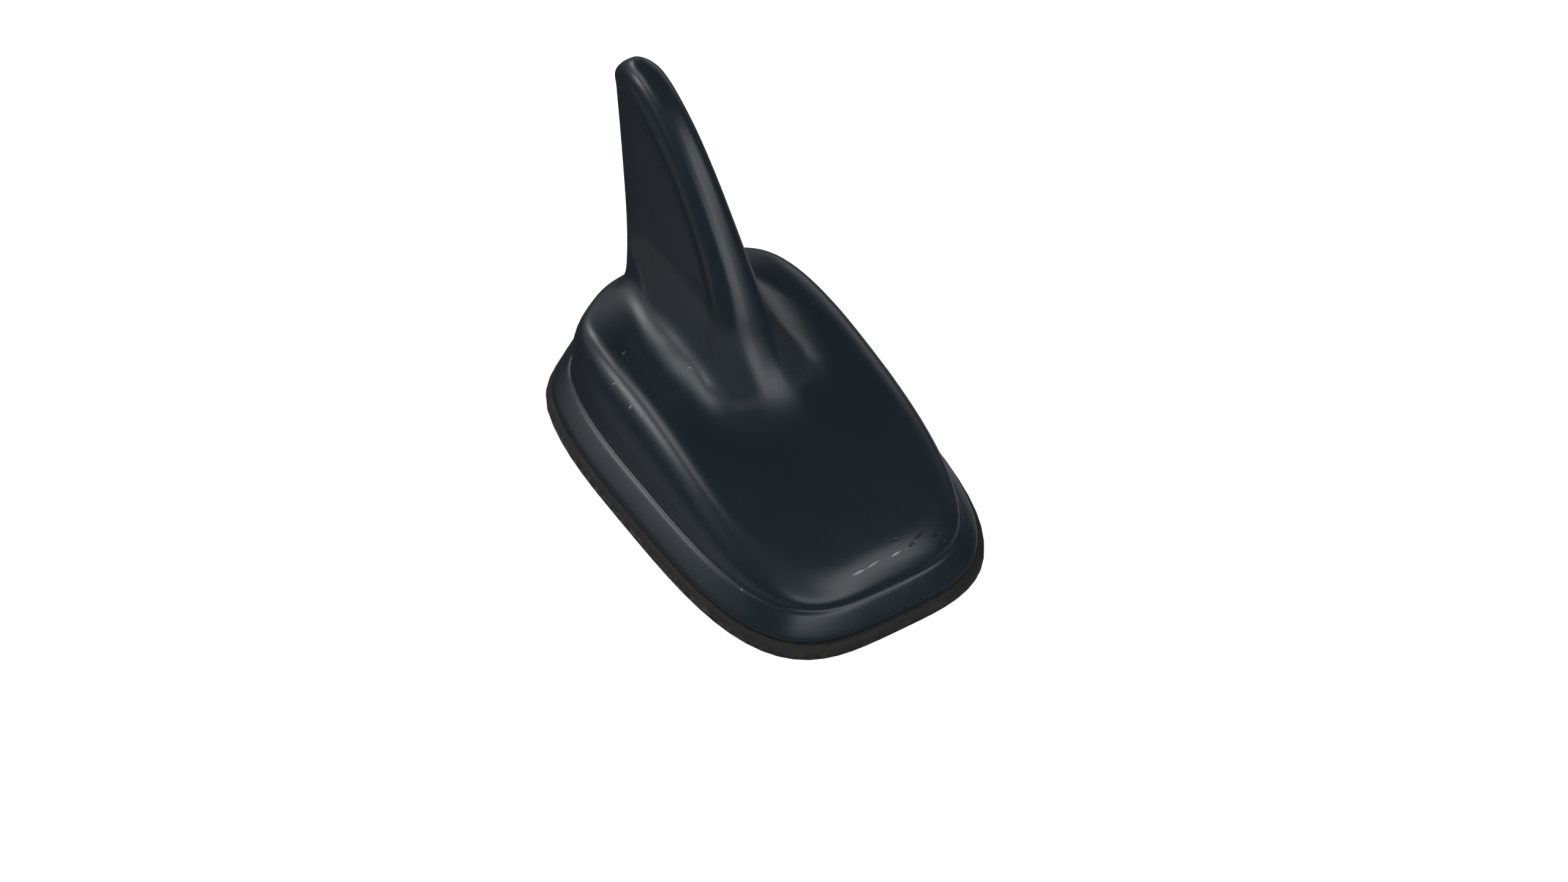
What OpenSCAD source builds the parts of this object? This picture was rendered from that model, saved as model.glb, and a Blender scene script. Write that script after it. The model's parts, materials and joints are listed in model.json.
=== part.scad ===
/* [Outline] */
// Length over the rubber lip, nose to tail
base_l = 112; // [110:0.5:116]
// Width over the rubber lip
base_w = 68; // [67:0.5:71]
// Share of the length that lies in front of the stud
nose_share = 0.515; // [0.505:0.005:0.525]
// Squareness of the nose end, where 2 is an ellipse
nose_sq = 3.6; // [3.3:0.1:3.8]
// Squareness of the tail end, where 2 is an ellipse
tail_sq = 2.85; // [2.7:0.05:3.1]
// How far the two tail corners are cut back, as a share
tail_cut = 0.06; // [0.04:0.01:0.08]
// How much wider the tail is than the nose, as a share
taper = 0.035; // [0.02:0.005:0.05]

/* [Cover] */
// Height of the lower edge of the cover above the roof
skirt_z = 4.1; // [4:0.1:4.6]
// How far the skirt's lower edge stands inside the lip
skirt_in = 1.05; // [0.8:0.05:1.4]
// Height of the ledge above the skirt
ledge_z = 9.6; // [9:0.1:10.4]
// How far the ledge stands inside the lip
ledge_in = 4.4; // [4:0.1:5]
// How far the ledge stands inside the lip at the nose
ledge_nose = 3.6; // [3:0.1:4.4]
// Width of the ledge
ledge_w = 0.9; // [0.6:0.1:1.2]
// Run of the rounded shoulder on the long sides
shoulder_w = 7; // [6:0.1:8]
// Squareness of the shoulder, where 2 is a quarter ellipse
shoulder_sq = 2.4; // [2:0.1:2.8]
// Height of the crown above the roof, at its highest
crown_h = 26.7; // [25:0.1:28]
// Slope of the crown toward the tail
crown_rise = 0.02; // [0:0.01:0.04]
// How much fuller the middle of the crown is toward the nose
nose_swell = 3.5; // [2:0.1:4]
// Wall of the cover
wall = 2.2; // [1.8:0.1:2.4]

/* [Fin] */
// Height of the fin above the crown
fin_h = 60; // [56:0.5:64]
// Front of the fin at its foot
fin_nose = -7; // [-10:0.5:-6]
// Distance from the fin's rear edge at its foot to the top of the tail's shoulder
fin_inset = 1.4; // [1.4:0.1:3]
// Flat run of the crown between the shoulder and the fin's spread foot
foot_gap = 3; // [2:0.1:5]
// How far the fin's sides spread at the foot
foot_spread = 11; // [9:0.5:12]
// Height over which that spread dies away
foot_soft = 6.5; // [5.5:0.5:7.5]
// Backward lean of the fin's rear edge
fin_lean = 0.08; // [0.05:0.01:0.12]
// Half thickness of the spine at the foot
spine_foot = 6.8; // [6:0.1:7.2]
// Half thickness of the spine at the tip
spine_tip = 3.8; // [3.4:0.1:4.6]
// Squareness of the spine's front, where 2 is an ellipse
spine_sq = 3; // [2.6:0.1:3.2]
// Thickness of the blade as a share of the spine's
blade_share = 0.55; // [0.5:0.01:0.7]
// Rounding of the tip, seen from the side
tip_r = 6.5; // [5:0.5:9]

/* [Fixing] */
// Outer radius of the hollow fixing stud
stud_r = 7; // [6.5:0.1:7.5]
// Radius of the bore that the leads run through
bore_r = 4.6; // [4:0.1:5]
// How far the stud reaches below the roof
stud_l = 19; // [15:0.5:24]
// Side of the square spigot
spigot_w = 16; // [15:0.5:18]
// Thickness of the base casting
plate_t = 3; // [2.6:0.1:3.2]

/* [Hidden] */

cols = 72;
half_w = base_w / 2;
front_l = base_l * nose_share;
rear_l = base_l - front_l;

// angles round the part from the tail, closer together where the outline's sides meet its ends
function ease(t) = pow(t, 1.4) / (pow(t, 1.4) + pow(1 - t, 1.4));
U = [for (i = [0 : cols - 1]) let (q = 4 * i / cols) 90 * (floor(q) + ease(q - floor(q)))];

// signed power, and a smooth step from 0 to 1
function oc(v, e) = v >= 0 ? pow(v, e) : -pow(-v, e);
function smooth(t) = let (s = min(1, max(0, t))) s * s * (3 - 2 * s);

// the outline seen from above, at any distance inside the lip
function sq(u) = cos(u) > 0 ? tail_sq : nose_sq;
cut_to = 57;
function cut(u) = let (a = min(u, 360 - u))
    a < cut_to ? 1 - tail_cut * pow(sin(180 * a / cut_to), 1.5) : 1;
function along(u) = cut(u) * oc(cos(u), 2 / sq(u));
function ox(off, u) = (half_w - off) * cut(u) * oc(sin(u), 2 / sq(u)) * (1 + taper * along(u));
function oy(off, u) = ((cos(u) > 0 ? rear_l : front_l) - off) * along(u);
function outline(off) = [for (u = U) [ox(off, u), oy(off, u)]];
function level(off, z) = [for (u = U) [ox(off, u), oy(off, u), z]];

// a value that changes from the long sides to the nose and to the tail
function round_about(side, nose, tail, u) = side
    + (nose - side) * pow(max(0, -cos(u)), 2)
    + (tail - side) * pow(max(0, cos(u)), 2);

// height of the crown
crown_y = 9;
crown_len = 0.004;
crown_drop = 0.0064;
crown_side = 0.0003;
function crown(x, y) = crown_h + crown_rise * y - crown_len * pow(y - crown_y, 2)
    - crown_drop * pow(max(0, y - 20), 2) - crown_side * x * x
    + nose_swell * smooth((-y - 4) / (front_l - 10)) * (1 - pow(x / (half_w * 0.74), 2));

// from the skirt's lower edge, where k is 0, up to the ledge, where k is 1
function ledge_off(u) = round_about(ledge_in, ledge_nose, ledge_in, u);
function skirt_ring(k, add, z) = [for (u = U) let (
    off = skirt_in + (ledge_off(u) - skirt_in) * k + add
) [ox(off, u), oy(off, u), z]];

// the shoulder, from the ledge up to the crown; t is how far in the wall the surface lies
foot_in = ledge_in + ledge_w;
foot_z = ledge_z + 1.0;
tail_run = 2;
fin_tail = rear_l - foot_in - tail_run - fin_inset;
foot_w = half_w - foot_in - shoulder_w - foot_gap;
corner_run = -0.5;
nose_run = 0.95;
front_run = 0.2;
function shoulder_run(u) = round_about(shoulder_w, shoulder_w * nose_run, tail_run, u)
    * (1 - front_run * smooth(-1.4 * along(u)) * (1 - pow(max(0, -cos(u)), 4)))
    + (cos(u) > 0 ? corner_run * pow(sin(2 * u), 2) : 0);
function shoulder(f, t) = [for (u = U) let (
    off = ledge_off(u) + ledge_w + t + shoulder_run(u) * (1 - pow(cos(f), 2 / shoulder_sq)),
    x = ox(off, u), y = oy(off, u),
    z0 = foot_z - t * 0.5,
    top = crown(x, y) - t
) [x, y, z0 + (top - z0) * pow(sin(f), 2 / shoulder_sq)]];

// the fin in side view
tip_z = tip_r * 1.3;
fin_kick = 3;
front_a = 1.26;
front_b = 0.75;
function fin_back(h) = let (k = min(1, max(0, (h - fin_h + tip_z) / tip_z)))
    fin_tail + fin_lean * h + fin_kick * (1 - exp(-h / 5)) - tip_r * (1 - sqrt(1 - k * k));
tip_y = fin_back(fin_h) - 0.6;
function fin_front(h) = let (r = min(1, max(0, h / fin_h)))
    tip_y - (tip_y - fin_nose) * pow(1 - pow(r, front_a), front_b);
function fin_half(h) = let (
    r = min(1, max(0, h / fin_h)),
    k = min(1, max(0, (h - fin_h + 5) / 5))
) (spine_foot + (spine_tip - spine_foot) * pow(r, 0.7)) * sqrt(1 - k * k);
function fin_spread(h, y) = foot_spread * exp(-h / foot_soft) * (1 - 0.55 * smooth((y - 12) / 30));

// the fin in section: a thick rounded spine that runs back into a thinner blade
function end_sq(u) = cos(u) > 0 ? 3.6 : spine_sq;
function thin(d) = 1 + (blade_share - 1) * smooth((d - 4) / 7);
function fin_point(h, u) = let (
    a = fin_front(h), b = fin_back(h), l = (b - a) / 2,
    y = (a + b) / 2 + l * oc(cos(u), 2 / end_sq(u)),
    lean = (fin_front(h + 0.5) - fin_front(max(0, h - 0.5))),
    d = (y - a) / sqrt(1 + lean * lean),
    x = (fin_half(h) * thin(d) + fin_spread(h, y)) * oc(sin(u), 2 / end_sq(u))
) [x, y, crown(x, y) + h];

// the same fin one wall further in
fin_wall = 1.5;
function in_point(h, u) = let (
    a = fin_front(h) + fin_wall * 1.3, b = fin_back(h) - fin_wall * 1.1,
    l = (b - a) / 2, m = (a + b) / 2,
    y = m + l * oc(cos(u), 2 / end_sq(u)),
    lo = (fin_back(h) - fin_front(h)) / 2, mo = (fin_back(h) + fin_front(h)) / 2,
    e = end_sq(y > mo ? 0 : 180),
    full = pow(max(0, 1 - pow(abs(y - mo) / lo, e)), 1 / e),
    lean = (fin_front(h + 0.5) - fin_front(max(0, h - 0.5))),
    d = (y - fin_front(h)) / sqrt(1 + lean * lean),
    w = max(0.2, (fin_half(h) * thin(d) + fin_spread(h, y)) * full - fin_wall),
    x = sign(sin(u)) * w * min(1, abs(sin(u)) * 4)
) [x, y, crown(x, y) - wall + h];

// the hollow foot of the fin, blended into the crown
foot_egg = 0.08;
foot_nose = 15.5;
function foot_rise(u) = round_about(3, 15, 4, u);
function foot_ring(t) = let (
    y0 = fin_nose - foot_nose + t, y1 = fin_tail + 0.9 - t * 1.2
) [for (u = U) let (
    x = (foot_w - t * 1.3) * oc(sin(u), 2 / 2.3) * (1 - foot_egg * cos(u)),
    y = (y0 + y1) / 2 + (y1 - y0) / 2 * oc(cos(u), 2 / 2.3)
) [x, y, crown(x, y) - t]];
// where the fin's wall, run on downward, would meet the crown
function foot_turn(u, c, above, below, start) = let (
    x = c[0] - foot_rise(u) * (above[0] - below[0]) / 0.2
) [x, start[1], crown(x, start[1]) - crown(start[0], start[1]) + start[2]];
function blend(a, b, c, t) = [for (i = [0 : cols - 1])
    a[i] * (1 - t) * (1 - t) + b[i] * 2 * t * (1 - t) + c[i] * t * t];
function between(a, b, t, drop) = [for (i = [0 : cols - 1]) let (
    p = a[i] + (b[i] - a[i]) * t
) [p[0], p[1], crown(p[0], p[1]) - drop]];

// outside of the cover, from its lower edge to the tip
fin_base = [for (u = U) let (h = foot_rise(u))
    foot_turn(u, fin_point(h, u), fin_point(h + 0.1, u), fin_point(h - 0.1, u), fin_point(0, u))];
fin_low = [for (u = U) fin_point(foot_rise(u), u)];
out_foot = foot_ring(0);
out_edge = shoulder(90, 0);
out_rings = concat(
    [level(skirt_in + 0.3, skirt_z), level(skirt_in, skirt_z + 0.3)],
    [skirt_ring(0.5, -0.1, (skirt_z + ledge_z) / 2)],
    [skirt_ring(1, -0.1, ledge_z - 0.35), skirt_ring(1, 0.2, ledge_z)],
    [skirt_ring(1, ledge_w * 0.75, ledge_z + 0.15)],
    [for (f = [0 : 10 : 90]) shoulder(f, 0)],
    [for (t = [0.25 : 0.25 : 1]) between(out_edge, out_foot, t, 0)],
    [for (t = [0.125 : 0.125 : 1]) blend(out_foot, fin_base, fin_low, t)],
    [for (i = [1 : 16]) let (s = sin(90 * pow(i / 16, 1.3))) [for (u = U) let (
        h0 = foot_rise(u)) fin_point(h0 + (fin_h - 0.3 - h0) * s, u)]]
);
out_tip = [0, fin_back(fin_h) - 0.3, crown(0, tip_y) + fin_h];

// inside of the cover, from the top of the hollow fin down to the rim
in_top = fin_h - 9;
in_base = [for (u = U) let (h = foot_rise(u))
    foot_turn(u, in_point(h, u), in_point(h + 0.1, u), in_point(h - 0.1, u), in_point(0, u))];
in_low = [for (u = U) in_point(foot_rise(u), u)];
in_foot = foot_ring(wall);
in_edge = shoulder(90, wall);
in_tip = let (a = in_point(in_top, 0), b = in_point(in_top, 180)) (a + b) / 2 + [0, 0, 0.8];
in_rings = concat(
    [for (i = [7 : -1 : 1]) let (s = sin(90 * pow(i / 7, 1.3))) [for (u = U) let (
        h0 = foot_rise(u)) in_point(h0 + (in_top - h0) * s, u)]],
    [for (t = [1 : -0.25 : 0]) blend(in_foot, in_base, in_low, t)],
    [between(in_edge, in_foot, 0.5, wall)],
    [for (f = [90 : -18 : 0]) shoulder(f, wall)],
    [skirt_ring(1, wall, ledge_z - 1.2), level(skirt_in + wall + 0.2, skirt_z)]
);

// a skin over rings of points, closed at each end by a point
module closed_skin(rings, first, last) {
    n = len(rings);
    pts = concat([for (r = rings) for (p = r) p], [first, last]);
    side = [for (i = [0 : n - 2]) for (j = [0 : cols - 1]) let (
        a = i * cols + j, b = i * cols + (j + 1) % cols) each [
        [a, b, b + cols], [a, b + cols, a + cols]]];
    ends = [for (j = [0 : cols - 1]) let (k = (j + 1) % cols) each [
        [n * cols, k, j], [n * cols + 1, (n - 1) * cols + j, (n - 1) * cols + k]]];
    polyhedron(points = pts, faces = concat(side, ends), convexity = 8);
}

// a closed band, whose section is a list of distances inside the lip and heights
module band(section) {
    n = len(section);
    pts = [for (s = section) each level(s[0], s[1])];
    faces = [for (i = [0 : n - 1]) for (j = [0 : cols - 1]) let (
        a = i * cols + j, b = i * cols + (j + 1) % cols,
        c = ((i + 1) % n) * cols + j, d = ((i + 1) % n) * cols + (j + 1) % cols)
        each [[a, b, d], [a, d, c]]];
    polyhedron(points = pts, faces = faces, convexity = 6);
}

// places of the fixings and heights of the layers
function in_wall(z) = skirt_in + wall + 0.2
    + (ledge_in - skirt_in - 0.2) * (z - skirt_z) / (ledge_z - 1.2 - skirt_z);
lip_t = 1.6;
plate_z = 3;
plate_top = plate_z + plate_t;
seal_in = in_wall(plate_top) + 2.2;
board_z = plate_top + 2;
board_t = 1.2;
board_top = board_z + board_t;
tape_w = 24;
post_x = tape_w / 2 + 5.6;
post_y = [25.2 - front_l, rear_l - 27.8];
cover_holes = [for (y = post_y) each [[-post_x, y], [post_x, y]]];
board_x = post_x - 3.3;
hole_x = board_x - 2.7;
board_l = base_l - 37;
board_y = rear_l - 19.3 - board_l / 2;
patch_y = 31.7 - front_l;
front_hole = patch_y + tape_w / 2 + 4.4;
rear_hole = rear_l - 23.3;
board_holes = [for (y = [front_hole, rear_hole]) each [[-hole_x, y], [hole_x, y]]];

module cover_post(p) {
    top = crown(p[0], p[1]) - wall / 2;
    translate([p[0], p[1], plate_top]) difference() {
        cylinder(r = 3, h = top - plate_top, $fn = 40);
        translate([0, 0, -1]) cylinder(r = 1.15, h = 9, $fn = 32);
    }
}

module cover() {
    color([0.09, 0.11, 0.14]) union() {
        closed_skin(concat(in_rings, out_rings), in_tip, out_tip);
        for (p = cover_holes) cover_post(p);
    }
}

module roof_gasket() {
    color([0.10, 0.09, 0.09]) union() {
        linear_extrude(plate_z) difference() {
            polygon(outline(0.55));
            polygon(outline(20));
        }
        band([
            [3.5, 0.3], [0.35, 0.15], [0, 0.8], [0.1, 2.3], [0.5, 3.2],
            [1.1, 3.65], [2.5, 3.65], [3.5, plate_z - 0.2]
        ]);
    }
}

module base_casting() {
    color([0.62, 0.63, 0.64]) difference() {
        union() {
            translate([0, 0, plate_z]) linear_extrude(lip_t) polygon(outline(in_wall(plate_z + lip_t) + 0.2));
            translate([0, 0, plate_z + lip_t]) linear_extrude(plate_t - lip_t) polygon(outline(seal_in));
            translate([-spigot_w / 2, -spigot_w / 2, -1.2])
                cube([spigot_w, spigot_w, plate_z + 1.2 + 0.5]);
            translate([0, 0, -stud_l]) cylinder(r = stud_r, h = stud_l, $fn = 64);
            for (p = board_holes) translate([p[0], p[1], plate_z])
                cylinder(r = 2.4, h = board_z - plate_z, $fn = 40);
        }
        translate([0, 0, -stud_l - 1])
            cylinder(r = bore_r, h = stud_l + plate_top + 2, $fn = 64);
        for (p = cover_holes) translate([p[0], p[1], 0]) {
            cylinder(r = 1.4, h = 12, $fn = 32);
            cylinder(r = 2.6, h = plate_z + lip_t, $fn = 40);
        }
        for (p = board_holes) translate([p[0], p[1], plate_z + 1])
            cylinder(r = 1, h = 9, $fn = 32);
    }
}

module cover_seal() {
    z0 = plate_z + lip_t;
    color([0.35, 0.12, 0.10]) band([
        [seal_in, z0 + 1.3], [seal_in, z0], [in_wall(z0) + 0.2, z0],
        [in_wall(z0 + 0.4) + 0.1, z0 + 0.4], [in_wall(z0 + 1.1) + 0.1, z0 + 1.1],
        [in_wall(z0 + 1.3) + 0.5, z0 + 1.3]
    ]);
}

module cover_screws() {
    color([0.55, 0.56, 0.58]) for (p = cover_holes) translate([p[0], p[1], 0]) {
        difference() {
            translate([0, 0, plate_z + 0.2]) cylinder(r = 2.3, h = 1.4, $fn = 40);
            translate([0, 0, plate_z]) cylinder(r = 1.1, h = 1.1, $fn = 6);
        }
        translate([0, 0, plate_z + lip_t]) cylinder(r = 1.15, h = 8.4, $fn = 32);
    }
}

module main_board() {
    color([0.08, 0.32, 0.16]) difference() {
        translate([0, board_y, board_z]) linear_extrude(board_t)
            offset(r = 2, $fn = 32) square([2 * board_x - 4, board_l - 4], center = true);
        translate([0, 0, board_z - 1]) cylinder(r = 5.4, h = board_t + 2, $fn = 48);
        for (p = board_holes) translate([p[0], p[1], board_z - 1])
            cylinder(r = 1.2, h = board_t + 2, $fn = 32);
        translate([0, patch_y, board_z - 1]) cylinder(r = 0.6, h = board_t + 2, $fn = 24);
        for (y = tab_y) translate([-0.9, y - 1, board_z - 1]) cube([1.8, 2, board_t + 2]);
    }
}

module board_screws() {
    color([0.72, 0.72, 0.70]) for (p = board_holes) translate([p[0], p[1], 0]) {
        difference() {
            translate([0, 0, board_top]) cylinder(r = 2, h = 1.4, $fn = 40);
            translate([0, 0, board_top + 0.6]) cylinder(r = 0.9, h = 2, $fn = 6);
        }
        translate([0, 0, board_z - 3]) cylinder(r = 1, h = board_t + 3, $fn = 32);
    }
}

// the radiator board that stands in the hollow fin
holder_y = [fin_tail - 33.5, fin_tail - 11.5];
tab_y = [holder_y[0] + 4, holder_y[1] - 4];
pcb_t = 1;
function fin_board_front(h) = fin_front(h) + 6.5;
function fin_board_back(h) = min(fin_back(h) - 5, fin_tail - 3.5);
fin_board_top = fin_h - 15;
holder_x = 3;

module fin_board() {
    z0 = board_top + 1;
    edge = concat(
        [[holder_y[0], z0], [holder_y[0], crown_h - wall - 2]],
        [for (h = [4 : 5 : fin_board_top]) [max(fin_board_front(h), holder_y[0] - 14 + h * 0.2),
            crown(0, fin_board_front(h)) + h - wall]],
        [for (h = [fin_board_top : -8 : 4]) [fin_board_back(h), crown(0, fin_board_back(h)) + h - wall]],
        [[fin_tail - 7.5, crown_h - wall - 8], [holder_y[1], z0]]
    );
    color([0.10, 0.36, 0.20]) translate([pcb_t / 2, 0, 0])
        rotate([90, 0, -90]) mirror([1, 0, 0]) linear_extrude(pcb_t) polygon(edge);
}

module fin_holder() {
    color([0.16, 0.16, 0.17]) difference() {
        translate([-holder_x, holder_y[0] + 1, board_top])
            cube([2 * holder_x, holder_y[1] - holder_y[0] - 2, 6]);
        translate([-pcb_t / 2, holder_y[0], board_top + 1])
            cube([pcb_t, holder_y[1] - holder_y[0], 6]);
        for (y = tab_y) translate([-2, y - 2, board_top - 1]) cube([4, 4, 4]);
    }
}

pad_t = fin_half(21) * blade_share - fin_wall - pcb_t / 2 - 0.05;
module fin_pads() {
    color([0.20, 0.20, 0.21]) for (s = [-1, 1])
        translate([s > 0 ? pcb_t / 2 : -pcb_t / 2 - pad_t, fin_tail - 21.5, crown_h + 8]) cube([pad_t, 8, 10]);
}

module solder_tabs() {
    color([0.80, 0.78, 0.70]) for (y = tab_y)
        translate([pcb_t / 2, y - 0.7, board_z - 0.6]) cube([0.3, 1.4, board_t + 3.2]);
}

patch_w = tape_w - 1.4;
patch_gap = 1.4;
patch_t = crown(patch_w / 2, patch_y - patch_w / 2) - wall - patch_gap - (board_top + 0.6);
module patch_tape() {
    color([0.85, 0.85, 0.82]) translate([0, patch_y, board_top]) difference() {
        translate([-tape_w / 2, -tape_w / 2, 0]) cube([tape_w, tape_w, 0.6]);
        translate([0, 0, -1]) cylinder(r = 1.5, h = 3, $fn = 32);
    }
}

module gps_patch() {
    color([0.80, 0.76, 0.66]) translate([0, patch_y, board_top + 0.6]) difference() {
        linear_extrude(patch_t) offset(r = 1, $fn = 32) square(patch_w, center = true);
        translate([0, 0, -1]) cylinder(r = 0.7, h = patch_t + 2, $fn = 24);
    }
}

module patch_pin() {
    color([0.78, 0.70, 0.45]) translate([0, patch_y, 0]) {
        translate([0, 0, board_z - 0.5]) cylinder(r = 0.5, h = board_t + patch_t + 1.1, $fn = 24);
        translate([0, 0, board_top + 0.6 + patch_t]) cylinder(r = 1.2, h = 0.3, $fn = 32);
    }
}

can_at = [4, rear_hole - 21, board_top];
can = [post_x - 4.7 - can_at[0], 16, 2.6];
module shield_can() {
    color([0.74, 0.75, 0.76]) translate(can_at) difference() {
        cube(can);
        translate([0.25, 0.25, -1]) cube([can[0] - 0.5, can[1] - 0.5, can[2] + 0.75]);
    }
}

module lna_chip() {
    color([0.12, 0.12, 0.13]) translate(can_at + [can[0] / 2 - 1.5, 9, 0]) cube([3, 3, 1]);
}

module saw_filter() {
    color([0.70, 0.64, 0.50]) translate(can_at + [can[0] / 2 - 1.9, 3, 0]) cube([3.8, 3.8, 1.2]);
}

module lead_sockets() {
    color([0.80, 0.72, 0.42]) for (y = [rear_hole - 19, rear_hole - 10])
        translate([-(holder_x + board_x) / 2, y, board_top]) difference() {
        union() {
            translate([-3, -3, 0]) cube([6, 6, 1]);
            cylinder(r = 1.9, h = 3, $fn = 40);
        }
        translate([0, 0, 1]) cylinder(r = 1.4, h = 3, $fn = 32);
    }
}

module chip_parts() {
    color([0.30, 0.27, 0.24]) for (i = [0 : 5]) 
        translate([board_x - 4.8 - (i % 2) * 4, front_hole + 2.3 + floor(i / 2) * 2.4, board_top])
        cube([2, 1.2, 0.8]);
}

cover();
roof_gasket();
base_casting();
cover_seal();
cover_screws();
main_board();
board_screws();
fin_board();
fin_holder();
fin_pads();
solder_tabs();
gps_patch();
patch_tape();
patch_pin();
shield_can();
lna_chip();
saw_filter();
lead_sockets();
chip_parts();
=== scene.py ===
import json
import math

import bmesh
import bpy
from mathutils import Matrix, Vector


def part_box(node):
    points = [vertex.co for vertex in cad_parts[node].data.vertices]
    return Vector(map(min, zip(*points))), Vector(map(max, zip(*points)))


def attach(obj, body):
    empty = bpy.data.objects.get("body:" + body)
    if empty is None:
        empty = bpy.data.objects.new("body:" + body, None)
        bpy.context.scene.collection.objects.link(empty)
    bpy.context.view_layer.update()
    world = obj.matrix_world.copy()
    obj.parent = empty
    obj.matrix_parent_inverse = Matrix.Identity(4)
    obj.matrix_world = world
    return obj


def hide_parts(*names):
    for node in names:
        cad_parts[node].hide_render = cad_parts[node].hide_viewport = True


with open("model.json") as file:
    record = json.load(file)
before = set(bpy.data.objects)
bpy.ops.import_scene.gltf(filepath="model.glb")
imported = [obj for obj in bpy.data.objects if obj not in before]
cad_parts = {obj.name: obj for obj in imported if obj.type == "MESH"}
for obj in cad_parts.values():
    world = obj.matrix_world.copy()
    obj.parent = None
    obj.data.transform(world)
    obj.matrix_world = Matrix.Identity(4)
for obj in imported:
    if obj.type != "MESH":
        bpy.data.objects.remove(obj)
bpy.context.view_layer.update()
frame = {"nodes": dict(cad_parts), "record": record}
nodes = frame["nodes"]

MM = 0.001


def link(thing):
    bpy.context.scene.collection.objects.link(thing)


def away(turn, lift):
    """The way out from the antenna, at a turn from its nose and a lift above the roof.

    Both are in radians.
    """
    return Vector((
        math.sin(turn) * math.cos(lift), -math.cos(turn) * math.cos(lift), math.sin(lift)))


# The camera, at the photograph's viewing angle

PICTURE_WIDTH, PICTURE_HEIGHT = 2560, 1440  # pixels
AZIMUTH, ELEVATION, ROLL = -32.02, 46.76, -0.3  # degrees
DISTANCE = 0.7875  # metres, along the view, to where the stud meets the roof
FOCAL = 6025.7  # pixels
STUD_AT = (1230.2, 744.3)  # where the stud meets the roof, in pixels
FILM_WIDTH = 36  # millimetres
NEAREST, FARTHEST = 0.05, 20  # metres that the camera sees


def place_camera():
    turn, lift, roll = (math.radians(angle) for angle in (AZIMUTH, ELEVATION, ROLL))
    back = away(turn, lift)
    right = Vector((math.cos(turn), math.sin(turn), 0))
    up = back.cross(right)
    right, up = (
        right * math.cos(roll) - up * math.sin(roll),
        right * math.sin(roll) + up * math.cos(roll),
    )
    aside = (STUD_AT[0] - PICTURE_WIDTH / 2) * DISTANCE / FOCAL
    above = (PICTURE_HEIGHT / 2 - STUD_AT[1]) * DISTANCE / FOCAL
    lens = bpy.data.cameras.new("photo_camera")
    lens.sensor_width = FILM_WIDTH
    lens.lens = FOCAL / PICTURE_WIDTH * FILM_WIDTH
    lens.clip_start, lens.clip_end = NEAREST, FARTHEST
    camera = bpy.data.objects.new("photo_camera", lens)
    link(camera)
    turned = Matrix((right, up, back)).transposed().to_4x4()
    turned.translation = back * DISTANCE - right * aside - up * above
    camera.matrix_world = turned
    bpy.context.scene.camera = camera


place_camera()


# Shader sums

# where the Mix node keeps its sockets for colours
MIX_SHARE, MIX_FIRST, MIX_SECOND, MIX_RESULT = 0, 6, 7, 2


class Wire:
    """A number that changes over a surface, on which sums can be written."""

    def __init__(self, sheet, socket):
        self.sheet, self.socket = sheet, socket

    def sum(self, operation, *numbers):
        return self.sheet.node(
            "ShaderNodeMath", {"operation": operation}, dict(enumerate(numbers)))

    def __abs__(self):
        return self.sum("ABSOLUTE", self)

    def __add__(self, other):
        return self.sum("ADD", self, other)

    def __sub__(self, other):
        return self.sum("SUBTRACT", self, other)

    def __rsub__(self, other):
        return self.sum("SUBTRACT", other, self)

    def __mul__(self, other):
        return self.sum("MULTIPLY", self, other)

    __radd__, __rmul__ = __add__, __mul__

    def over(self, low, high):
        """0 below low and 1 above high, with a smooth step between."""
        return self.sheet.node(
            "ShaderNodeMapRange", {"interpolation_type": "SMOOTHSTEP"},
            {"Value": self, "From Min": low, "From Max": high})


class Sheet:
    """A node tree that sums are written on."""

    def __init__(self, tree):
        self.tree = tree

    def feed(self, socket, value):
        if isinstance(value, Wire):
            self.tree.links.new(value.socket, socket)
        elif hasattr(socket.default_value, "__len__"):
            value = tuple(value)
            socket.default_value = value + (1.0,) * (len(socket.default_value) - len(value))
        else:
            socket.default_value = value

    def node(self, kind, settings=None, sockets=None, output=0):
        made = self.tree.nodes.new(kind)
        for name, value in (settings or {}).items():
            setattr(made, name, value)
        for name, value in (sockets or {}).items():
            self.feed(made.inputs[name], value)
        return Wire(self, made.outputs[output])

    def part(self, place, axis):
        """One of the three numbers of a place: 0, 1 or 2."""
        return self.node("ShaderNodeSeparateXYZ", sockets={0: place}, output=axis)

    def blend(self, share, first, second):
        """The first colour at a share of 0, and the second at 1."""
        return self.node(
            "ShaderNodeMix", {"data_type": "RGBA"},
            {MIX_SHARE: share, MIX_FIRST: first, MIX_SECOND: second}, output=MIX_RESULT)


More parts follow.
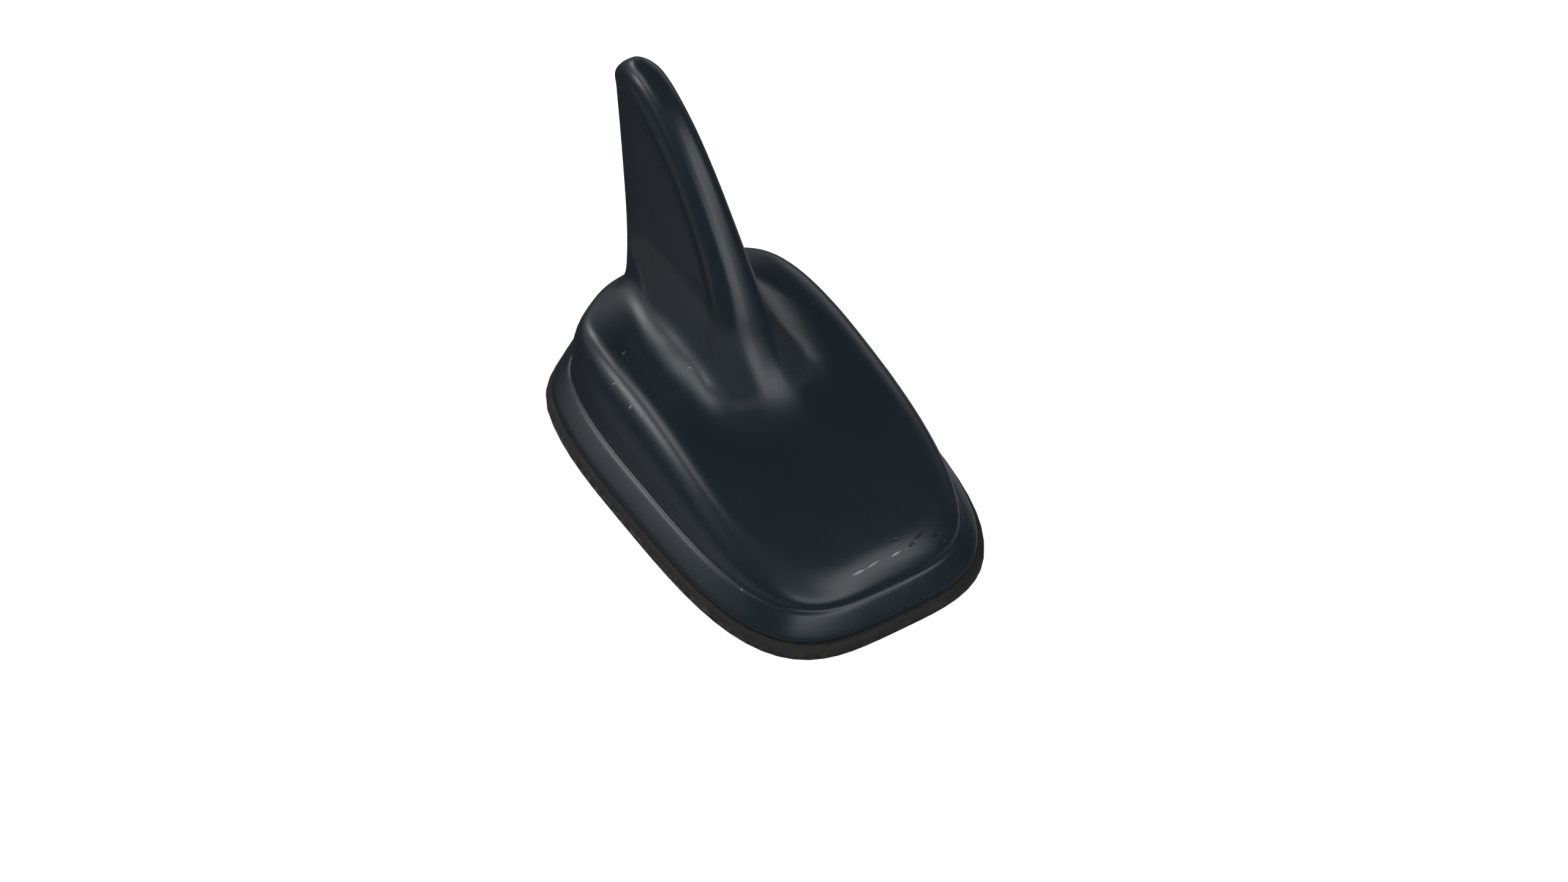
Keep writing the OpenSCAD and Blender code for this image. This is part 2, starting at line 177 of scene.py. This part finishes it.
class Finish(Sheet):
    """A material of one of the antenna's substances."""

    def __init__(self, name, roughness=0.5, metallic=0.0, specular=0.5):
        self.material = bpy.data.materials.new(name)
        self.material.use_nodes = True
        super().__init__(self.material.node_tree)
        self.tree.nodes.clear()
        end = self.tree.nodes.new("ShaderNodeOutputMaterial")
        self.shader = self.tree.nodes.new("ShaderNodeBsdfPrincipled")
        self.tree.links.new(self.shader.outputs[0], end.inputs[0])
        self.set("Roughness", roughness)
        self.set("Metallic", metallic)
        self.set("Specular IOR Level", specular)
        self.place = self.node("ShaderNodeTexCoord", output="Object")

    def set(self, name, value):
        self.feed(self.shader.inputs[name], value)

    def stretched(self, size, turn, centre=(0, 0, 0)):
        """Object coordinates as seen from a centre, turned, and measured in sizes."""
        return self.node(
            "ShaderNodeMapping", {"vector_type": "TEXTURE"},
            {"Vector": self.place, "Location": centre, "Rotation": turn, "Scale": size})

    def noise(self, scale, detail, rough, place=None):
        return self.node(
            "ShaderNodeTexNoise", {"noise_dimensions": "3D"},
            {"Vector": place or self.place, "Scale": scale, "Detail": detail,
             "Roughness": rough})

    def cells(self, scale):
        return self.node(
            "ShaderNodeTexVoronoi", {"feature": "F1"},
            {"Vector": self.place, "Scale": scale, "Randomness": 1.0})

    def relief(self, rise, depth, strength):
        """Raises the surface by a number, times depth in metres."""
        bump = self.node(
            "ShaderNodeBump", None, {"Strength": strength, "Distance": depth, "Height": rise})
        self.set("Normal", bump)


# The cover's plastic

# start, end and half width of each mark on the cover, in millimetres
PALE_RUBS_AND_HIGHLIGHT_STREAK = (
    ((-21.2, 17.9, 26.6), (-20.1, 18.3, 26.6), 0.16),
    ((-25.7, 16.2, 24.7), (-25.4, 15.9, 25.0), 0.26),
    ((-26.2, 13.6, 24.1), (-25.8, 13.1, 24.7), 0.28),
    ((-26.5, 6.2, 23.6), (-26.0, 5.9, 24.5), 0.34),
    ((-26.0, 2.4, 24.1), (-25.3, 1.9, 24.9), 0.22),
    ((-12.4, 6.0, 28.1), (-11.6, 5.4, 28.5), 0.22),
    ((-13.2, 0.7, 27.2), (-11.6, -0.2, 28.0), 0.16),
    ((-3.1, -10.0, 28.2), (1.2, -8.7, 29.3), 0.13),
    ((-26.2, -37.9, 9.6), (-26.1, -38.3, 9.6), 0.26),
    ((-12.8, -38.5, 19.0), (-11.7, -38.6, 19.1), 0.12),
    # these three strokes along the nose shoulder's crest are a painted highlight streak
    ((-7.4, -50.1, 14.5), (-4.0, -50.2, 14.6), 0.42),
    ((-4.1, -50.2, 14.6), (-0.3, -49.8, 14.9), 0.34),
    ((2.2, -50.1, 14.7), (4.6, -49.9, 14.7), 0.44),
)
DARK_MARKS = (
    ((6.8, -49.7, 14.7), (8.1, -49.4, 14.8), 0.30),
    ((8.7, -49.0, 15.1), (11.5, -48.0, 15.2), 0.26),
    ((3.2, -47.7, 16.2), (5.1, -47.7, 16.1), 0.30),
    ((13.0, -49.6, 13.9), (14.2, -49.1, 13.9), 0.34),
    ((13.6, -51.0, 12.5), (14.8, -50.4, 12.5), 0.44),
)

MARK_FADE = (0.35, 1.0)  # where a mark's edge begins and ends, as shares of its half width

# the hollow at the fin's foot: where it fades in and out, in millimetres
HOLLOW_INNER, HOLLOW_OUTER = (2.5, 5), (8.5, 11.5)  # aside from the middle
HOLLOW_BOTTOM, HOLLOW_TOP = (26, 28.5), (33, 42)  # above the roof
HOLLOW_FRONT = (-12, -7)  # along the antenna

PLASTIC_ROUGHNESS = 0.30
SMEAR_ROUGHNESS = 0.05
HOLLOW_ROUGHNESS = 0.65


def stroke(finish, start, end, width):
    """1 along a short straight mark, and 0 beside it."""
    start, end = (Vector(place) * MM for place in (start, end))
    along = end - start
    half_width = width * MM
    half_length = along.length / 2 + half_width
    place = finish.stretched(
        (half_length, half_width, half_width),
        along.to_track_quat("X", "Z").to_euler(), (start + end) / 2)
    off = finish.node("ShaderNodeVectorMath", {"operation": "LENGTH"}, {0: place}, output=1)
    return 1 - off.over(*MARK_FADE)


def foot_hollow(finish):
    """1 in the hollow at both sides of the fin's foot, and 0 away from it."""
    def fade(number, ends):
        return number.over(*(end * MM for end in ends))

    across, along, height = (finish.part(finish.place, axis) for axis in (0, 1, 2))
    aside = abs(across)
    return (fade(aside, HOLLOW_INNER) * (1 - fade(aside, HOLLOW_OUTER))
            * fade(height, HOLLOW_BOTTOM) * (1 - fade(height, HOLLOW_TOP))
            * fade(along, HOLLOW_FRONT))


def cover_finish():
    """Satin blue-black plastic with a fine grain, faint smears, pale rubs, dark nicks and a
    painted highlight streak along the nose shoulder.
    """
    f = Finish("cover_plastic")
    cloud = f.noise(scale=35, detail=3, rough=0.6)
    grain = f.noise(scale=5200, detail=1, rough=0.5)
    wiped = f.stretched(size=(1, 4, 1), turn=(0.3, 0.1, 0.5))
    smear = f.noise(scale=60, detail=4, rough=0.65, place=wiped)
    pale = sum(stroke(f, *mark) for mark in PALE_RUBS_AND_HIGHLIGHT_STREAK)
    dark = sum(stroke(f, *mark) for mark in DARK_MARKS)
    colour = f.blend(
        cloud.over(0.35, 0.7) * 0.6, (0.0028, 0.0054, 0.0078), (0.0040, 0.0064, 0.0084))
    # pale rubs, and along the nose shoulder a painted highlight streak
    colour = f.blend(pale * 0.22, colour, (0.30, 0.31, 0.32))
    colour = f.blend(dark * 0.8, colour, (0.0015, 0.0018, 0.0025))
    f.set("Base Color", colour)
    # rougher in the hollow, which has no highlight of its own
    f.set("Roughness", PLASTIC_ROUGHNESS + smear.over(0.3, 0.75) * SMEAR_ROUGHNESS
          + foot_hollow(f) * HOLLOW_ROUGHNESS)
    f.relief(grain * 0.06 + pale - dark * 1.5 + 1.5, depth=0.1 * MM, strength=0.6)
    return f.material


# The gasket's rubber

# the dust fades out between these heights, and in between these places along the antenna
DUST_LOW, DUST_HIGH = 1.6 * MM, 3.0 * MM
DUST_FRONT, DUST_REAR = -52 * MM, -25 * MM


def gasket_finish():
    """Brown-black rubber, dusty toward the roof and toward the rear."""
    f = Finish("gasket_rubber", specular=0.35)
    cloud = f.noise(scale=160, detail=5, rough=0.7)
    crumbs = 1 - f.cells(scale=2600).over(0.10, 0.22)
    patches = f.noise(scale=260, detail=3, rough=0.6).over(0.48, 0.62)
    low = 1 - f.part(f.place, 2).over(DUST_LOW, DUST_HIGH)
    rear = f.part(f.place, 1).over(DUST_FRONT, DUST_REAR)
    specks = f.noise(scale=900, detail=4, rough=0.75).over(0.42, 0.66)
    dust = specks * low * (0.2 + rear * 0.8)
    colour = f.blend(
        cloud.over(0.35, 0.7), (0.0035, 0.0033, 0.0032), (0.0065, 0.0062, 0.0060))
    colour = f.blend(dust * 0.30 + crumbs * patches * 0.18, colour, (0.09, 0.088, 0.085))
    f.set("Base Color", colour)
    f.set("Roughness", 0.62 + cloud.over(0.3, 0.7) * 0.2)
    pores = f.noise(scale=1500, detail=4, rough=0.7)
    f.relief(pores + dust * 0.6, depth=0.15 * MM, strength=0.6)
    return f.material


# The finishes under the cover

def plain_finish(name, colour, worn, roughness, metallic=0.0, grain=900, depth=0.03,
                 specular=0.5):
    """A slow change of tone and a fine grain, whose depth is in millimetres."""
    f = Finish(name, metallic=metallic, specular=specular)
    cloud = f.noise(scale=grain * 0.12, detail=4, rough=0.6)
    smudge = f.noise(scale=grain * 0.5, detail=3, rough=0.6)
    f.set("Base Color", f.blend(cloud.over(0.3, 0.75), colour, worn))
    f.set("Roughness", roughness + smudge.over(0.3, 0.7) * 0.12)
    f.relief(f.noise(scale=grain, detail=2, rough=0.55), depth=depth * MM, strength=0.5)
    return f.material


def board_finish():
    """Green laminate with a pattern of tracks."""
    f = Finish("board_laminate", roughness=0.32)
    tracks = f.node("ShaderNodeTexBrick", {"offset": 0.5}, {
        "Vector": f.place, "Scale": 260, "Mortar Size": 0.06, "Color1": (0.0, 0.0, 0.0),
        "Color2": (0.3, 0.3, 0.3), "Mortar": (1.0, 1.0, 1.0)}, output=1)
    f.set("Base Color", f.blend(tracks * 0.5, (0.015, 0.10, 0.04), (0.03, 0.20, 0.075)))
    f.relief(tracks, depth=0.03 * MM, strength=0.5)
    return f.material


PLAIN_FINISHES = {
    "zinc_casting": dict(
        colour=(0.55, 0.56, 0.57), worn=(0.40, 0.41, 0.42), roughness=0.42, metallic=0.9,
        grain=700, depth=0.06),
    "seal_silicone": dict(
        colour=(0.30, 0.07, 0.05), worn=(0.24, 0.05, 0.04), roughness=0.55),
    "screw_steel": dict(
        colour=(0.60, 0.60, 0.62), worn=(0.48, 0.48, 0.50), roughness=0.30, metallic=1.0),
    "holder_plastic": dict(
        colour=(0.03, 0.03, 0.032), worn=(0.045, 0.045, 0.047), roughness=0.5),
    "pad_foam": dict(
        colour=(0.05, 0.05, 0.05), worn=(0.08, 0.08, 0.08), roughness=0.9, grain=2500,
        depth=0.2, specular=0.2),
    "tinned_brass": dict(
        colour=(0.72, 0.62, 0.36), worn=(0.62, 0.55, 0.34), roughness=0.30, metallic=1.0),
    "patch_ceramic": dict(
        colour=(0.62, 0.55, 0.42), worn=(0.56, 0.49, 0.37), roughness=0.5),
    "tape_foam": dict(
        colour=(0.70, 0.70, 0.66), worn=(0.60, 0.60, 0.57), roughness=0.85, grain=2500,
        depth=0.1, specular=0.2),
    "tinned_steel": dict(
        colour=(0.68, 0.69, 0.70), worn=(0.58, 0.59, 0.60), roughness=0.28, metallic=1.0),
    "chip_plastic": dict(
        colour=(0.02, 0.02, 0.022), worn=(0.035, 0.035, 0.037), roughness=0.45),
}

FINISHES = {
    "cover_plastic": cover_finish(),
    "gasket_rubber": gasket_finish(),
    "board_laminate": board_finish(),
}
for name, look in PLAIN_FINISHES.items():
    FINISHES[name] = plain_finish(name, **look)

slot_of = {part["node"]: part["material_slot"] for part in frame["record"]["subparts"]}
for name, carried in nodes.items():
    carried.data.materials.clear()
    carried.data.materials.append(FINISHES[slot_of[name]])


# The moulded cover

SAME_CORNER = 0.002 * MM  # corners nearer than this are joined
COVER_WALL = 1.2 * MM
INWARDS = -1
RIM_DEPTH = 0.05 * MM  # how far above the rim's height a face still counts as the rim
FACING_DOWN = -0.9  # a face whose normal points lower than this faces down
# how bent and how skewed, in radians, two triangles may be to become one quad
BEND, SKEW = 0.7, 3.2


def merged_copy(name):
    """A CAD node's mesh, with its loose triangles joined."""
    copy = bmesh.new()
    copy.from_mesh(nodes[name].data)
    bmesh.ops.remove_doubles(copy, verts=copy.verts, dist=SAME_CORNER)
    return copy


def smooth_piece(name, shape, finish):
    """An object with smooth faces, made from a bmesh that is then let go."""
    mesh = bpy.data.meshes.new(name)
    shape.to_mesh(mesh)
    shape.free()
    mesh.polygons.foreach_set("use_smooth", [True] * len(mesh.polygons))
    mesh.materials.append(finish)
    piece = bpy.data.objects.new(name, mesh)
    link(piece)
    return piece


def outer_faces(shell, rim_height):
    """The faces that are reached from the fin's tip without going round the lower rim."""
    top = max(shell.verts, key=lambda corner: corner.co.z)
    reached, going = set(), list(top.link_faces)
    while going:
        face = going.pop()
        on_rim = (face.normal.z < FACING_DOWN
                  and face.calc_center_median().z < rim_height + RIM_DEPTH)
        if face in reached or on_rim:
            continue
        reached.add(face)
        for edge in face.edges:
            going.extend(edge.link_faces)
    return reached


def make_cover():
    """The cover's outside, made finer and given an even wall."""
    shell = merged_copy("cover")
    shell.normal_update()
    outside = outer_faces(shell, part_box("cover")[0].z)
    bmesh.ops.delete(
        shell, geom=[face for face in shell.faces if face not in outside], context="FACES")
    bmesh.ops.join_triangles(
        shell, faces=shell.faces, angle_face_threshold=BEND, angle_shape_threshold=SKEW,
        cmp_seam=False, cmp_sharp=False, cmp_uvs=False, cmp_vcols=False, cmp_materials=False)
    skin = smooth_piece("cover_skin", shell, FINISHES["cover_plastic"])
    finer = skin.modifiers.new("finer", "SUBSURF")
    finer.levels = finer.render_levels = 1
    wall = skin.modifiers.new("wall", "SOLIDIFY")
    wall.thickness, wall.offset = COVER_WALL, INWARDS
    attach(skin, "root")
    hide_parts("cover")


make_cover()


# The roof gasket

GASKET_EDGE = 50  # degrees, the least angle of a sharp edge


def make_gasket():
    """The gasket with smooth faces and its sharp edges kept."""
    skin = smooth_piece("gasket_skin", merged_copy("roof_gasket"), FINISHES["gasket_rubber"])
    skin.data.set_sharp_from_angle(angle=math.radians(GASKET_EDGE))
    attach(skin, "root")
    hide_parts("roof_gasket")


make_gasket()


# Floor and light

# reach and height of the floor's half section, in metres
FLOOR_SECTION = (
    (0, 0), (1.9, 0), (2.25, 0.05), (2.5, 0.2), (2.62, 0.45), (2.65, 0.8), (2.65, 2.0))
FLOOR_SIDES = 64

AIR_COLOUR = (0.045, 0.05, 0.06)
PALE_AIR_COLOUR = (0.50, 0.52, 0.54)

# turn is 0 before the nose and -90 at the left, and lift is 0 at the level of the roof.
# turn, lift, width and height are in degrees, as seen from the antenna
LIGHTS = (
    dict(name="window", turn=-128, lift=21, width=18, height=18, brightness=7),
    dict(name="window_top", turn=-137, lift=55, width=32, height=18, brightness=3.4),
    dict(name="window_side", turn=-157, lift=34, width=14, height=12, brightness=4.5),
    dict(name="window_far", turn=-172, lift=19, width=16, height=12, brightness=5.5),
    dict(name="front", turn=-16, lift=24, width=65, height=23, brightness=2.4),
    dict(name="lamp", turn=22, lift=46, width=40, height=26, brightness=2.6),
    dict(name="far_side", turn=127, lift=20, width=36, height=26, brightness=0.6),
)
# this one lights the floor and the antenna, but isn't mirrored in them
CEILING = dict(
    name="ceiling", turn=-25, lift=50, width=41, height=36, brightness=12, distance=1.9)
LIGHTS_AT = Vector((0, 0, 0.02))  # the place on the antenna that the lights face


def lay_floor():
    """A pale floor that curves up into a round wall."""
    bowl = bmesh.new()
    rise = [bowl.verts.new((reach, 0, height)) for reach, height in FLOOR_SECTION]
    for start, end in zip(rise, rise[1:]):
        bowl.edges.new((start, end))
    bmesh.ops.spin(
        bowl, geom=bowl.verts[:] + bowl.edges[:], cent=(0, 0, 0), axis=(0, 0, 1),
        dvec=(0, 0, 0), angle=math.tau, steps=FLOOR_SIDES, use_merge=True, use_duplicate=False)
    bmesh.ops.remove_doubles(bowl, verts=bowl.verts, dist=0.1 * MM)
    bmesh.ops.recalc_face_normals(bowl, faces=bowl.faces)
    pale = Finish("floor_white", roughness=0.9, specular=0.1)
    cloud = pale.noise(scale=3, detail=2, rough=0.5)
    pale.set("Base Color", pale.blend(cloud, (0.85, 0.85, 0.85), (0.87, 0.87, 0.87)))
    floor = smooth_piece("studio_floor", bowl, pale.material)
    floor.visible_glossy = False


def hang_light(name, turn, lift, width, height, brightness, distance=1.6):
    """A soft light at a distance in metres, as wide and high as its angles say."""
    turn, lift, width, height = (math.radians(angle) for angle in (turn, lift, width, height))
    lamp = bpy.data.lights.new(name, "AREA")
    lamp.shape = "RECTANGLE"
    lamp.size = 2 * distance * math.tan(width / 2)
    lamp.size_y = 2 * distance * math.tan(height / 2)
    lamp.energy = brightness * math.pi * lamp.size * lamp.size_y
    light = bpy.data.objects.new(name, lamp)
    link(light)
    out = away(turn, lift)
    light.location = out * distance + LIGHTS_AT
    light.rotation_euler = out.to_track_quat("Z", "Y").to_euler()
    return light


def fill_air():
    """Dim air, paler at the roof's level behind the tail and low down at both sides."""
    sky = bpy.data.worlds.new("studio_air")
    bpy.context.scene.world = sky
    sky.use_nodes = True
    air = Sheet(sky.node_tree)
    toward = air.node("ShaderNodeTexCoord", output="Generated")
    aside, behind, height = (air.part(toward, axis) for axis in (0, 1, 2))
    band = height.over(-0.22, 0.02) * (1 - height.over(0.12, 0.42)) * behind.over(-0.2, 0.6)
    sides = (1 - height.over(-0.60, -0.34)) * abs(aside).over(0.36, 0.62)
    colour = air.blend(band, AIR_COLOUR, PALE_AIR_COLOUR)
    colour = air.blend(sides * 0.6, colour, PALE_AIR_COLOUR)
    air.feed(sky.node_tree.nodes["Background"].inputs["Color"], colour)


lay_floor()
fill_air()
for light in LIGHTS:
    hang_light(**light)
hang_light(**CEILING).visible_glossy = False
bpy.context.scene.view_settings.view_transform = "Standard"
bpy.context.scene.view_settings.look = "None"
